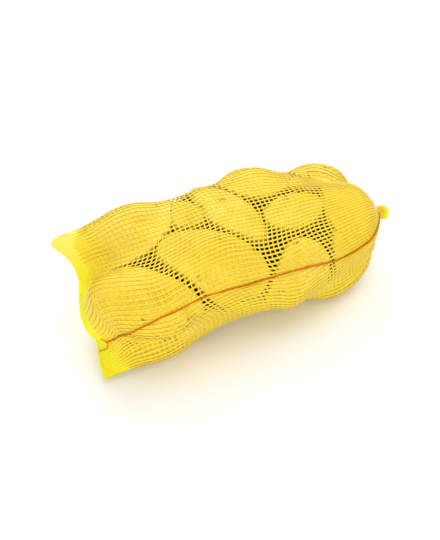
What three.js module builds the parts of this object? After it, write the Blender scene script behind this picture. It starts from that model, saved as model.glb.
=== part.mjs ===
// A net sack of potatoes that lies on its side: sewn flat at one end, tied in a knot at the other.
// Millimetres, +Z up. X runs along the sack from the hem to the knot, the origin is under its middle.
import * as THREE from 'three';

// Driving dimensions of the net
const NET_STAND_OFF = 1.0;      // how far the outer face of the net lies outside the potatoes
const SHEET_THICKNESS = 3.0;    // two layers of net where the hem lies flat
const FACETS_AROUND = 56;
const ROWS_ALONG = 56;

// How the net is drawn tight over its filling
const SLACK_RADIUS = 135;       // radius of the tube before it is drawn tight
const SLACK_MIDDLE_Y = -3;
const SLACK_MIDDLE_Z = 55;
const SLACK_BLUNTNESS = 0.4;    // power of the sine along it: the lower, the blunter its ends
const SLACK_OPENING = 1 / 6;    // share of its length over which it opens from the hem
const TIGHTENING_STEPS = 900;
const EVENING_INTERVAL = 20;    // steps between two spacings-out of the rows
const HOOP_PULL = 0.3;          // tension round the sack, where the tension along it is 1
const END_HOOP_PULL = 0.03;     // the same at the hem and the neck, where the net is bunched and stiff
const HEM_ROWS = 14;            // rows over which it changes, from the hem
const NECK_ROWS = 26;           // and from the neck
const HEM_BUNCHING = 0.6;       // how much closer the lines lie at the hem's near corner

// The potatoes that fill it: middle, length, width and height, and how each is turned in degrees
const POTATOES = [
  { at: [-102, 46, 84], size: [107, 66, 64], yaw: 11, pitch: 0 },
  { at: [-124, -42, 76], size: [110, 64, 62], yaw: -48, pitch: 0 },
  { at: [-39, -21, 82], size: [115, 68, 64], yaw: -38, pitch: 0 },
  { at: [8, 25, 80], size: [114, 56, 56], yaw: 130, pitch: -20 },
  { at: [48, 59, 82], size: [80, 54, 52], yaw: -22, pitch: 0 },
  { at: [125, 61, 59], size: [74, 52, 54], yaw: -20, pitch: 0 },
  { at: [80, 12, 84], size: [56, 52, 52], yaw: 10, pitch: 0 },
  { at: [130, -6, 69], size: [88, 64, 64], yaw: 81, pitch: 0 },
  { at: [46, -49, 62], size: [84, 54, 54], yaw: 22, pitch: -48 },
  { at: [-96, -41, 22], size: [100, 48, 48], yaw: 13, pitch: 0 },
  { at: [106, -27, 24], size: [90, 50, 48], yaw: 26, pitch: -9 },
  { at: [-2, -3, 24], size: [80, 50, 50], yaw: 12, pitch: 0 },
  { at: [-100, 29, 28], size: [96, 62, 60], yaw: 20, pitch: 0 },
  { at: [-16, 48, 27], size: [76, 56, 56], yaw: -20, pitch: 0 },
  { at: [57, 32, 26], size: [62, 54, 56], yaw: 30, pitch: 0 },
  { at: [112, 28, 22], size: [58, 48, 48], yaw: 60, pitch: 0 },
];

// The hem from its far upper corner to its near lower corner
const HEM_POINTS = [
  [-173, 60, 101],
  [-181, 55, 97],
  [-170, 38, 88],
  [-166, 21, 75],
  [-171, 7, 62],
  [-175, -7, 47],
  [-173, -19, 36],
  [-167, -26, 25],
  [-171, -45, 15],
  [-173, -63, 8],
];

// The gathered neck and the knot beyond it: middle and radius of each ring, and the tip
const KNOT_RINGS = [
  { at: [164, -2, 64], radius: 5.0 },
  { at: [168, -2, 65], radius: 4.2 },
  { at: [171, -2, 63], radius: 6.5 },
  { at: [174, -2, 59], radius: 7.5 },
  { at: [175, -2, 53], radius: 6.5 },
  { at: [173, -2, 49], radius: 4.0 },
];
const KNOT_TIP = [172, -2, 47];

// The sewing thread that closes the side of the sack
const THREAD_RADIUS = 0.9;
const THREAD_GAP = 0.6;         // clear space between the thread and the net
const THREAD_LINES = [19.3, 16.7, 15.6, 16.4, 17.2, 18.5, 19.7, 19.9, 19.4];  // net lines, hem to neck
const THREAD_FIRST_ROW = 1;
const THREAD_LAST_ROW = 55;
const THREAD_SIDES = 6;
const THREAD_STEPS = 60;

// Colours and finish
const NET_COLOUR = 0xfbd82c;
const NET_ROUGHNESS = 0.5;
const THREAD_COLOUR = 0xd9801c;
const THREAD_ROUGHNESS = 0.7;

const ALONG_SACK = new THREE.Vector3(1, 0, 0);
const HALF_AROUND = FACETS_AROUND / 2;

// A potato is an ellipsoid: its frame turns a point into one where the ellipsoid is a unit ball
function potatoFrame({ at, size, yaw, pitch }) {
  const turn = new THREE.Quaternion().setFromEuler(
    new THREE.Euler(0, THREE.MathUtils.degToRad(pitch), THREE.MathUtils.degToRad(yaw), 'ZYX'),
  );
  const halfSize = new THREE.Vector3(...size).multiplyScalar(0.5).addScalar(NET_STAND_OFF);
  const toWorld = new THREE.Matrix4().compose(new THREE.Vector3(...at), turn, halfSize);
  return { toWorld, toBall: toWorld.clone().invert() };
}

// The hem's course from corner to corner, and the direction its upper face looks at each place
const hemCurve = new THREE.CatmullRomCurve3(HEM_POINTS.map((point) => new THREE.Vector3(...point)));
const hemChord = hemCurve.getPointAt(0).sub(hemCurve.getPointAt(1)).normalize();
const sheetNormal = new THREE.Vector3().crossVectors(ALONG_SACK, hemChord).normalize();

// The lines of the net are counted round from the far corner, over the upper face, and back below
function isUpperFace(line) {
  return line > 0 && line < HALF_AROUND;
}

function hemPoint(line) {
  const share = (line <= HALF_AROUND ? line : FACETS_AROUND - line) / HALF_AROUND;
  const point = hemCurve.getPointAt(share + HEM_BUNCHING * share * share * (1 - share));
  if (line % HALF_AROUND === 0) return point;
  const side = isUpperFace(line) ? 1 : -1;
  return point.addScaledVector(sheetNormal, (side * SHEET_THICKNESS) / 2);
}

// A ring of the knot stands square to the knot's course
function knotRing(index) {
  const ring = KNOT_RINGS[index];
  const before = KNOT_RINGS[Math.max(index - 1, 0)].at;
  const after = index + 1 < KNOT_RINGS.length ? KNOT_RINGS[index + 1].at : KNOT_TIP;
  const course = new THREE.Vector3(...after).sub(new THREE.Vector3(...before)).normalize();
  const across = hemChord.clone().addScaledVector(course, -hemChord.dot(course)).normalize();
  const upward = new THREE.Vector3().crossVectors(course, across);
  return Array.from({ length: FACETS_AROUND }, (_, line) => {
    const angle = (2 * Math.PI * line) / FACETS_AROUND;
    return new THREE.Vector3(...ring.at)
      .addScaledVector(across, ring.radius * Math.cos(angle))
      .addScaledVector(upward, ring.radius * Math.sin(angle));
  });
}

// The slack tube: a wide bulge that narrows to the hem at one end and to the neck at the other
function slackRow(row) {
  const share = row / ROWS_ALONG;
  const radius = SLACK_RADIUS * Math.sin(Math.PI * share) ** SLACK_BLUNTNESS;
  const hemX = hemCurve.getPointAt(0.5).x;
  const x = THREE.MathUtils.lerp(hemX, KNOT_RINGS[0].at[0], share);
  const openness = Math.min(1, share / SLACK_OPENING);
  return Array.from({ length: FACETS_AROUND }, (_, line) => {
    const angle = (2 * Math.PI * line) / FACETS_AROUND;
    const onBulge = new THREE.Vector3(x, SLACK_MIDDLE_Y, SLACK_MIDDLE_Z)
      .addScaledVector(hemChord, radius * Math.cos(angle))
      .addScaledVector(sheetNormal, radius * Math.sin(angle));
    return hemPoint(line).lerp(onBulge, openness);
  });
}

function pushOutOfPotatoes(point, frames, inBall) {
  for (const frame of frames) {
    inBall.copy(point).applyMatrix4(frame.toBall);
    const depth = inBall.length();
    if (depth < 1) point.copy(inBall.divideScalar(depth).applyMatrix4(frame.toWorld));
  }
}

// Where the sack lies flat its two faces stay one sheet thickness apart
function keepFacesApart(rows) {
  for (const row of rows) {
    for (let line = 1; line < HALF_AROUND; line += 1) {
      const upper = row[line];
      const lower = row[FACETS_AROUND - line];
      const apart = upper.clone().sub(lower).dot(sheetNormal);
      if (apart < SHEET_THICKNESS) {
        const move = (SHEET_THICKNESS - apart) / 2;
        upper.addScaledVector(sheetNormal, move);
        lower.addScaledVector(sheetNormal, -move);
      }
    }
  }
}

// Spaces the rows out evenly along each line of the net
function evenOutRows(rows) {
  for (let line = 0; line < FACETS_AROUND; line += 1) {
    const lengths = [0];
    for (let row = 1; row <= ROWS_ALONG; row += 1) {
      lengths.push(lengths[row - 1] + rows[row][line].distanceTo(rows[row - 1][line]));
    }
    const before = rows.map((row) => row[line].clone());
    let start = 0;
    for (let row = 1; row < ROWS_ALONG; row += 1) {
      const wanted = (lengths[ROWS_ALONG] * row) / ROWS_ALONG;
      while (lengths[start + 1] < wanted) start += 1;
      const share = (wanted - lengths[start]) / (lengths[start + 1] - lengths[start]);
      rows[row][line].lerpVectors(before[start], before[start + 1], share);
    }
  }
}

function hoopPullAt(row) {
  const fromHem = THREE.MathUtils.smoothstep(row, 0, HEM_ROWS);
  const fromNeck = THREE.MathUtils.smoothstep(ROWS_ALONG - row, 0, NECK_ROWS);
  return THREE.MathUtils.lerp(END_HOOP_PULL, HOOP_PULL, Math.min(fromHem, fromNeck));
}

// Draws the slack tube tight: each crossing moves to the middle of its four neighbours, and is then
// held outside the potatoes, above the floor and clear of the opposite face
function tightenedRows() {
  const frames = POTATOES.map(potatoFrame);
  const rows = [];
  for (let row = 0; row < ROWS_ALONG; row += 1) rows.push(slackRow(row));
  rows.push(knotRing(0));
  const inBall = new THREE.Vector3();
  for (let step = 1; step <= TIGHTENING_STEPS; step += 1) {
    const before = rows.map((row) => row.map((point) => point.clone()));
    for (let row = 1; row < ROWS_ALONG; row += 1) {
      const hoopPull = hoopPullAt(row);
      for (let line = 0; line < FACETS_AROUND; line += 1) {
        const next = (line + 1) % FACETS_AROUND;
        const last = (line + FACETS_AROUND - 1) % FACETS_AROUND;
        const point = rows[row][line];
        point.copy(before[row][next]).add(before[row][last]).multiplyScalar(hoopPull);
        point.add(before[row - 1][line]).add(before[row + 1][line]).divideScalar(2 + 2 * hoopPull);
        pushOutOfPotatoes(point, frames, inBall);
        point.z = Math.max(point.z, 0);
      }
    }
    keepFacesApart(rows.slice(1, ROWS_ALONG));
    if (step % EVENING_INTERVAL === 0 && step < TIGHTENING_STEPS) evenOutRows(rows);
  }
  return rows;
}

// One closed skin: the tightened rows, the knot's rings, a strip across the hem and a fan at the tip
function sackGeometry(rows) {
  const rings = [...rows];
  for (let index = 1; index < KNOT_RINGS.length; index += 1) rings.push(knotRing(index));
  const positions = rings.flat().flatMap((point) => point.toArray());
  positions.push(...KNOT_TIP);
  const tip = rings.length * FACETS_AROUND;
  const corner = (row, line) => row * FACETS_AROUND + (line % FACETS_AROUND);
  const triangles = [];
  for (let row = 0; row + 1 < rings.length; row += 1) {
    for (let line = 0; line < FACETS_AROUND; line += 1) {
      const next = (line + 1) % FACETS_AROUND;
      const a = corner(row, line);
      const b = corner(row, next);
      const c = corner(row + 1, next);
      const d = corner(row + 1, line);
      const straight = rings[row][line].distanceTo(rings[row + 1][next]);
      const crossed = rings[row][next].distanceTo(rings[row + 1][line]);
      if (straight <= crossed) triangles.push(a, b, c, a, c, d);
      else triangles.push(a, b, d, b, c, d);
    }
  }
  for (let line = 0; line < FACETS_AROUND; line += 1) {
    triangles.push(corner(rings.length - 1, line), corner(rings.length - 1, line + 1), tip);
  }
  for (let line = 0; line < HALF_AROUND; line += 1) {
    const upper = [line, line + 1];
    const lower = [(FACETS_AROUND - line) % FACETS_AROUND, FACETS_AROUND - line - 1];
    if (line > 0) triangles.push(upper[0], lower[0], upper[1]);
    if (line + 1 < HALF_AROUND) triangles.push(upper[1], lower[0], lower[1]);
  }
  const geometry = new THREE.BufferGeometry();
  geometry.setAttribute('position', new THREE.Float32BufferAttribute(positions, 3));
  geometry.setIndex(triangles);
  geometry.computeVertexNormals();
  return geometry;
}

// The thread runs over the net from hem to neck, just clear of it
function threadGeometry(sack) {
  const position = sack.getAttribute('position');
  const normal = sack.getAttribute('normal');
  const course = [];
  for (let row = THREAD_FIRST_ROW; row <= THREAD_LAST_ROW; row += 1) {
    const rowShare = (row - THREAD_FIRST_ROW) / (THREAD_LAST_ROW - THREAD_FIRST_ROW);
    const along = rowShare * (THREAD_LINES.length - 1);
    const stretch = Math.min(Math.floor(along), THREAD_LINES.length - 2);
    const line = THREE.MathUtils.lerp(THREAD_LINES[stretch], THREAD_LINES[stretch + 1], along - stretch);
    const index = row * FACETS_AROUND + Math.floor(line);
    const share = line - Math.floor(line);
    const between = (attribute) => new THREE.Vector3()
      .fromBufferAttribute(attribute, index)
      .lerp(new THREE.Vector3().fromBufferAttribute(attribute, index + 1), share);
    course.push(between(position).addScaledVector(between(normal).normalize(), THREAD_RADIUS + THREAD_GAP));
  }
  const section = new THREE.Shape(
    Array.from({ length: THREAD_SIDES }, (_, side) => {
      const angle = (2 * Math.PI * side) / THREAD_SIDES;
      return new THREE.Vector2(Math.cos(angle), Math.sin(angle)).multiplyScalar(THREAD_RADIUS);
    }),
  );
  return new THREE.ExtrudeGeometry(section, {
    steps: THREAD_STEPS,
    extrudePath: new THREE.CatmullRomCurve3(course),
  });
}

const sack = new THREE.Mesh(
  sackGeometry(tightenedRows()),
  new THREE.MeshStandardMaterial({ color: NET_COLOUR, roughness: NET_ROUGHNESS, metalness: 0 }),
);
sack.name = 'filled_net';

const thread = new THREE.Mesh(
  threadGeometry(sack.geometry),
  new THREE.MeshStandardMaterial({ color: THREAD_COLOUR, roughness: THREAD_ROUGHNESS, metalness: 0 }),
);
thread.name = 'seam_thread';

const potatoSack = new THREE.Group();
potatoSack.add(sack, thread);

export default potatoSack;
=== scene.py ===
# %% [markdown]
# A net sack of potatoes
#
# The real thing is a knitted yellow net, sewn flat at one end and gathered and tied at the other, with
# about two and a half kilograms of potatoes inside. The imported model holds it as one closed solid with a
# sewing thread along its side. Here the solid is replaced by what it stands for: loose potatoes, and the
# net itself, strand by strand, drawn tight over them.

# %% The frame
import math
import random

import bmesh
import bpy
import numpy as np
from mathutils import Matrix, Vector, noise
from mathutils.kdtree import KDTree


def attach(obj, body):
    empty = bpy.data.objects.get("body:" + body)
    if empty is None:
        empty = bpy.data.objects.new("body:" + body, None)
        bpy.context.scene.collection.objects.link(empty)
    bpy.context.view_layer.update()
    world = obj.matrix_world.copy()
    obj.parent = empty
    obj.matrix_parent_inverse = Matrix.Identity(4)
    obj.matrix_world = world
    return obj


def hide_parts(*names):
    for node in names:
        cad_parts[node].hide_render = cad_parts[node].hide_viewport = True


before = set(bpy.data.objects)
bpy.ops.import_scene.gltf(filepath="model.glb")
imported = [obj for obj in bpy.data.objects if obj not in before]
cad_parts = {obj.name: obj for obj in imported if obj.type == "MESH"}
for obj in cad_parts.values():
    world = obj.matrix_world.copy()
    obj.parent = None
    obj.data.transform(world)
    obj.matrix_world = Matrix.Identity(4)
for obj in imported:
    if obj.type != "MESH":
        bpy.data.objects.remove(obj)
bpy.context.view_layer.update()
MM = 0.001


# %% [markdown]
# Camera
#
# The sack is seen from its near side and from well above, turned a little so that the hem comes forward.
# A long lens keeps it from bulging. The sensor's 36 mm lie along the taller side of the picture.

# %% Camera
VIEW_AZIMUTH = math.radians(-24)
VIEW_ELEVATION = math.radians(45)
VIEW_DISTANCE = 1.5
VIEW_TARGET = Vector((-0.0214, -0.0104, 0.0555))
LENS_LENGTH = 95.2
SENSOR_SIZE = 36

view_back = Vector((
    math.sin(VIEW_AZIMUTH) * math.cos(VIEW_ELEVATION),
    -math.cos(VIEW_AZIMUTH) * math.cos(VIEW_ELEVATION),
    math.sin(VIEW_ELEVATION),
))
camera = bpy.data.objects.new("camera", bpy.data.cameras.new("camera"))
camera.data.lens = LENS_LENGTH
camera.data.sensor_width = SENSOR_SIZE
camera.location = VIEW_TARGET + view_back * VIEW_DISTANCE
camera.rotation_mode = "QUATERNION"
camera.rotation_quaternion = (-view_back).to_track_quat("-Z", "Y")
bpy.context.collection.objects.link(camera)
bpy.context.scene.camera = camera
print("camera at", tuple(round(v, 3) for v in camera.location))

# %% [markdown]
# Light and floor
#
# The picture has the even light of a white studio: brightness from all round, and four wide soft lamps,
# above, beyond the knot, low in front and behind, that give the potatoes a gentle round shading. A lamp has
# a place and a width in metres and a power in watts. Plain colours come out as they are set when the view
# transform is the standard one.

# %% Light and floor
SURROUND_STRENGTH = 0.76
LAMPS = [
    ("key_lamp", (0.05, -0.10, 1.65), 1.1, 3.3),
    ("side_lamp", (1.10, 0.30, 1.05), 0.9, 5.0),
    ("front_lamp", (-0.65, -1.30, 0.30), 1.2, 9.2),
    ("back_lamp", (0.10, 1.20, 1.10), 1.0, 11.0),
]
LAMP_TARGET = Vector((0, 0, 0.05))
FLOOR_HALF_WIDTH = 3.0
FLOOR_COLOUR = (0.97, 0.97, 0.97, 1.0)
FLOOR_ROUGHNESS = 0.8

bpy.context.scene.view_settings.view_transform = "Standard"
surround = bpy.data.worlds.new("studio")
surround.use_nodes = True
surround.node_tree.nodes["Background"].inputs["Color"].default_value = (1.0, 1.0, 1.0, 1.0)
surround.node_tree.nodes["Background"].inputs["Strength"].default_value = SURROUND_STRENGTH
bpy.context.scene.world = surround

for lamp_name, place, width, power in LAMPS:
    lamp = bpy.data.objects.new(lamp_name, bpy.data.lights.new(lamp_name, "AREA"))
    lamp.data.shape = "DISK"
    lamp.data.size = width
    lamp.data.energy = power
    lamp.location = place
    lamp.rotation_mode = "QUATERNION"
    lamp.rotation_quaternion = (LAMP_TARGET - Vector(place)).to_track_quat("-Z", "Y")
    bpy.context.collection.objects.link(lamp)
print("lamps:", len(LAMPS))


def new_material(name, roughness):
    """A material with its one main shader, and that shader's tree for more nodes."""
    material = bpy.data.materials.new(name)
    material.use_nodes = True
    shader = material.node_tree.nodes["Principled BSDF"]
    shader.inputs["Roughness"].default_value = roughness
    return material, material.node_tree, shader


def new_piece(name, mesh_maker, material):
    """Turns a finished bmesh into an object at the origin."""
    mesh = bpy.data.meshes.new(name)
    mesh_maker.to_mesh(mesh)
    mesh_maker.free()
    mesh.materials.append(material)
    piece = bpy.data.objects.new(name, mesh)
    bpy.context.collection.objects.link(piece)
    print(name, "has", sum(len(p.vertices) - 2 for p in mesh.polygons), "triangles")
    return piece


floor_paint, floor_tree, floor_shader = new_material("floor_paint", FLOOR_ROUGHNESS)
floor_shader.inputs["Base Color"].default_value = FLOOR_COLOUR
floor_maker = bmesh.new()
bmesh.ops.create_grid(floor_maker, x_segments=1, y_segments=1, size=FLOOR_HALF_WIDTH)
floor = new_piece("floor", floor_maker, floor_paint)

# %% [markdown]
# What holds the net out
#
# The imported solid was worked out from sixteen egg-like balls, each with a middle, a length, a width and a
# height in millimetres, turned about the vertical and then nosed up or down by some degrees. They hold the
# net out here too, so the net that is drawn over them has the solid's form. One of them, at the lower right,
# is a little larger and turned, and the last two fill the hollows beside it. The matrix of a ball turns a
# point of the unit ball into a point of that ball.

# %% What holds the net out
NET_FORMS = [
    ((-102, 46, 84), (107, 66, 64), 11, 0),
    ((-124, -42, 76), (110, 64, 62), -48, 0),
    ((-39, -21, 82), (115, 68, 64), -38, 0),
    ((8, 25, 80), (114, 56, 56), 130, -20),
    ((48, 59, 82), (80, 54, 52), -22, 0),
    ((125, 61, 59), (74, 52, 54), -20, 0),
    ((80, 12, 84), (56, 52, 52), 10, 0),
    ((130, -6, 69), (88, 64, 64), 81, 0),
    ((46, -49, 62), (84, 54, 54), 22, -48),
    ((-96, -41, 22), (100, 48, 48), 13, 0),
    ((108, -30, 25), (92, 52, 50), 19, -9),
    ((-2, -3, 24), (80, 50, 50), 12, 0),
    ((-100, 29, 28), (96, 62, 60), 20, 0),
    ((-16, 48, 27), (76, 56, 56), -20, 0),
    ((57, 32, 26), (62, 54, 56), 30, 0),
    ((112, 28, 22), (58, 48, 48), 60, 0),
    ((66, -41, 56), (58, 58, 58), 0, 0),
    ((129, -26, 53), (44, 44, 44), 0, 0),
]


def ball_matrix(ball, stand_off):
    """Unit ball to egg-like ball, in millimetres, grown by a stand-off all round."""
    place, size, yaw, pitch = ball
    turn = Matrix.Rotation(math.radians(yaw), 4, "Z") @ Matrix.Rotation(math.radians(pitch), 4, "Y")
    half_size = [side / 2 + stand_off for side in size]
    return Matrix.Translation(place) @ turn @ Matrix.Diagonal((*half_size, 1))


print(len(NET_FORMS), "balls hold the net out")

# %% [markdown]
# Drawing the net tight
#
# A knitted net under tension behaves like a soap skin with threads in it: each crossing ends up in the
# middle of its four neighbours, unless a potato or the floor holds it out. Starting from a slack tube
# between the hem and the neck and repeating that rule some hundreds of times draws it tight. The pull along
# the sack is stronger than the pull round it. The arrays hold rows from the hem to the neck, and in each row
# the lines are counted from the hem's far corner over the upper face to its near corner and back below.

# %% The hem and the neck
HEM_POINTS = [
    (-173, 60, 101), (-181, 55, 97), (-170, 38, 88), (-166, 21, 75), (-171, 7, 62),
    (-175, -7, 47), (-173, -19, 36), (-167, -26, 25), (-171, -45, 15), (-173, -63, 8),
]
HEM_BUNCHING = 0.6
SHEET_THICKNESS = 3.0
NECK_MIDDLE = np.array((164.0, -2.0, 64.0))
NECK_NEXT = np.array((168.0, -2.0, 65.0))
NECK_RADIUS = 5.0
CURVE_STEPS = 40
ROUGH_LINES = 56


def unit(vectors):
    """The same directions with the length 1."""
    return vectors / np.linalg.norm(vectors, axis=-1, keepdims=True)


def lengths_along(points):
    """How far along its line each point lies."""
    steps = np.linalg.norm(np.diff(points, axis=0), axis=-1)
    return np.concatenate([np.zeros_like(steps[:1]), np.cumsum(steps, axis=0)])


def read_between(wanted, known, points):
    """Points or directions read between known ones."""
    return np.stack([np.interp(wanted, known, points[:, axis]) for axis in range(3)], axis=-1)


def smooth_course(points, shares):
    """Points at given shares of the length of a smooth curve through a few points."""
    knots = np.array(points, float)
    knots = np.vstack([2 * knots[0] - knots[1], knots, 2 * knots[-1] - knots[-2]])
    curve = []
    for a, b, c, d in zip(knots[:-3], knots[1:-2], knots[2:-1], knots[3:]):
        t = np.linspace(0, 1, CURVE_STEPS, endpoint=False)[:, None]
        bend = 2 * a - 5 * b + 4 * c - d
        twist = 3 * b - a - 3 * c + d
        curve.append(0.5 * (2 * b + (c - a) * t + bend * t ** 2 + twist * t ** 3))
    curve = np.vstack([*curve, knots[-2:-1]])
    walked = lengths_along(curve)
    return read_between(shares, walked / walked[-1], curve)


hem_chord = unit(np.array(HEM_POINTS[0], float) - np.array(HEM_POINTS[-1], float))
sheet_normal = unit(np.cross((1, 0, 0), hem_chord))


def hem_ring(lines):
    """The two layers of the hem, one point for each line."""
    line = np.arange(lines)
    half = lines // 2
    share = np.minimum(line, lines - line) / half
    ring = smooth_course(HEM_POINTS, share + HEM_BUNCHING * share ** 2 * (1 - share))
    side = np.sign(half - line) * (line % half != 0)
    return ring + sheet_normal * (side * SHEET_THICKNESS / 2)[:, None]


def neck_ring(lines):
    """The ring of the neck, begun on the side of the hem's far corner."""
    course = unit(NECK_NEXT - NECK_MIDDLE)
    angle = 2 * np.pi * np.arange(lines)[:, None] / lines
    across = unit(hem_chord - course * (hem_chord @ course))
    upward = np.cross(course, across)
    return NECK_MIDDLE + NECK_RADIUS * (np.cos(angle) * across + np.sin(angle) * upward)


print("hem of", len(hem_ring(ROUGH_LINES)), "lines, neck", 2 * NECK_RADIUS, "mm across")

# %% The slack tube
SLACK_RADIUS = 135.0
SLACK_MIDDLE_Y = -3.0
SLACK_MIDDLE_Z = 55.0
SLACK_BLUNTNESS = 0.4
HEM_OPENING = 6
ROUGH_ROWS = 56


def slack_tube(rows, lines):
    """A wide bulge between the hem and the neck."""
    share = np.arange(rows + 1)[:, None, None] / rows
    angle = 2 * np.pi * np.arange(lines)[None, :, None] / lines
    radius = SLACK_RADIUS * np.sin(np.pi * share).clip(0) ** SLACK_BLUNTNESS
    hem_x = smooth_course(HEM_POINTS, [0.5])[0, 0]
    middle = np.concatenate([
        hem_x + (NECK_MIDDLE[0] - hem_x) * share,
        np.full_like(share, SLACK_MIDDLE_Y),
        np.full_like(share, SLACK_MIDDLE_Z),
    ], axis=2)
    bulge = middle + radius * (np.cos(angle) * hem_chord + np.sin(angle) * sheet_normal)
    openness = np.minimum(1, HEM_OPENING * share)
    tube = hem_ring(lines)[None] * (1 - openness) + bulge * openness
    tube[-1] = neck_ring(lines)
    return tube


slack_net = slack_tube(ROUGH_ROWS, ROUGH_LINES)
print("slack tube of", slack_net.shape, "values")

# %% Tightening
STAND_OFF = 1.0
HOOP_PULL = 0.3
END_HOOP_PULL = 0.03
FULL_PULL_FROM_HEM = 0.25
FULL_PULL_FROM_NECK = 0.464
TIGHTENING_STEPS = 900
STEPS_TO_SPACING = 20
form_matrices = [np.array(ball_matrix(ball, STAND_OFF)) for ball in NET_FORMS]
held_out = [(matrix, np.linalg.inv(matrix)) for matrix in form_matrices]


def eased(values, start, end):
    """0 up to the start, 1 from the end on, and a soft rise between."""
    share = np.clip((values - start) / (end - start), 0, 1)
    return share * share * (3 - 2 * share)


def away_from_ends(share, from_hem, from_neck):
    """0 at both ends of the sack, and 1 where it is some share of the length away from them."""
    return np.minimum(eased(share, 0, from_hem), eased(1 - share, 0, from_neck))


def keep_outside(points):
    """Moves points out of the balls and above the floor."""
    for matrix, inverse in held_out:
        in_ball = points @ inverse[:3, :3].T + inverse[:3, 3]
        depth = np.linalg.norm(in_ball, axis=1)
        caught = np.flatnonzero(depth < 1)
        on_ball = in_ball[caught] / depth[caught, None]
        points[caught] = on_ball @ matrix[:3, :3].T + matrix[:3, 3]
    points[:, 2] = np.maximum(points[:, 2], 0)
    return points


def spaced_out(net):
    """Spaces the rows out evenly along each line."""
    rows = len(net) - 1
    walked = lengths_along(net)
    even = net.copy()
    for line in range(net.shape[1]):
        wanted = walked[-1, line] * np.arange(1, rows) / rows
        even[1:-1, line] = read_between(wanted, walked[:, line], net[:, line])
    return even


def tightened(net, steps):
    """Draws the net tight, and keeps its two faces apart where it lies flat."""
    rows = len(net) - 1
    half = net.shape[1] // 2
    share = np.arange(1, rows)[:, None, None] / rows
    pull = away_from_ends(share, FULL_PULL_FROM_HEM, FULL_PULL_FROM_NECK)
    pull = END_HOOP_PULL + (HOOP_PULL - END_HOOP_PULL) * pull
    for step in range(1, steps + 1):
        round_sum = np.roll(net, 1, axis=1)[1:-1] + np.roll(net, -1, axis=1)[1:-1]
        inner = (pull * round_sum + net[:-2] + net[2:]) / (2 + 2 * pull)
        inner = keep_outside(inner.reshape(-1, 3)).reshape(inner.shape)
        upper = inner[:, 1:half]
        lower = inner[:, :half:-1]
        apart = ((upper - lower) * sheet_normal).sum(axis=2, keepdims=True)
        move = np.maximum(0, SHEET_THICKNESS - apart) / 2 * sheet_normal
        upper += move
        lower -= move
        net = np.concatenate([net[:1], inner, net[-1:]])
        if step % STEPS_TO_SPACING == 0 and step < steps:
            net = spaced_out(net)
    return net


rough_net = tightened(slack_net, TIGHTENING_STEPS)
girths = np.linalg.norm(np.roll(rough_net, 1, axis=1) - rough_net, axis=2).sum(axis=1)
print("net drawn tight, greatest girth", round(girths.max()), "mm")

# %% [markdown]
# One crossing for each mesh
#
# The rough net has fewer lines than the real one. It is divided again so that each of its crossings is a
# real one, five to six millimetres apart, and settled a little more. Real knitting is never quite even, so
# the crossings then wander by half a millimetre. Close to the neck the net has too much cloth for its
# girth, and it lies in pleats.

# %% One crossing for each mesh
ROWS = 70
LINES = 88
SETTLING_STEPS = 40
EVEN_FROM_HEM = 0.16
EVEN_FROM_NECK = 0.12
TINY = 1e-12


def looped(values):
    """The same values with the first line again at the end."""
    return np.concatenate([values, values[:, :1]], axis=1)


def divided(net, rows, lines):
    """The same surface with other numbers of rows and lines."""
    row = np.linspace(0, len(net) - 1, rows + 1)
    first_row = np.minimum(row.astype(int), len(net) - 2)
    row_share = (row - first_row)[:, None, None]
    line = np.arange(lines) * net.shape[1] / lines
    first_line = line.astype(int)
    line_share = (line - first_line)[None, :, None]
    whole = looped(net)
    near = whole[first_row] * (1 - row_share) + whole[first_row + 1] * row_share
    return near[:, first_line] * (1 - line_share) + near[:, first_line + 1] * line_share


def net_normals(net):
    """Outward directions at the crossings."""
    down = np.gradient(net, axis=0)
    around = np.roll(net, -1, axis=1) - np.roll(net, 1, axis=1)
    directions = unit(np.cross(around, down) + TINY)
    from_middle = net - net.mean(axis=(0, 1))
    return directions * np.sign((directions * from_middle).sum())


def lines_evened(net):
    """Spaces the lines out evenly on each face of the sack, fully in its middle and not at its ends."""
    rows = len(net) - 1
    lines = net.shape[1]
    half = lines // 2
    whole = looped(net)
    even = net.copy()
    for row in range(1, rows):
        for first in (0, half):
            face = whole[row, first:first + half + 1]
            walked = lengths_along(face)
            wanted = walked[-1] * np.arange(half) / half
            even[row, first:first + half] = read_between(wanted, walked, face)
    share = np.arange(rows + 1)[:, None, None] / rows
    return net + (even - net) * away_from_ends(share, EVEN_FROM_HEM, EVEN_FROM_NECK)


net = divided(rough_net, ROWS, LINES)
net[0] = hem_ring(LINES)
net[-1] = neck_ring(LINES)
net = lines_evened(tightened(net, SETTLING_STEPS))
net = keep_outside(net.reshape(-1, 3)).reshape(net.shape)
normals = net_normals(net)
print("crossings:", net.shape[0] * net.shape[1])

# %% Uneven knitting and pleats
WANDER = 0.7
WANDER_SEED = 7
WANDER_SIZE = 14
WANDER_FROM_HEM = 0.05
WANDER_FROM_NECK = 0.1
PLEATS = 13
PLEAT_DEPTH = 1.4
PLEATS_FROM = 0.91
PLEAT_SHIFT = 2.5
PLEAT_SHIFT_PLACE = 3
PLEAT_SHIFT_SIZE = 2.2

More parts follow.
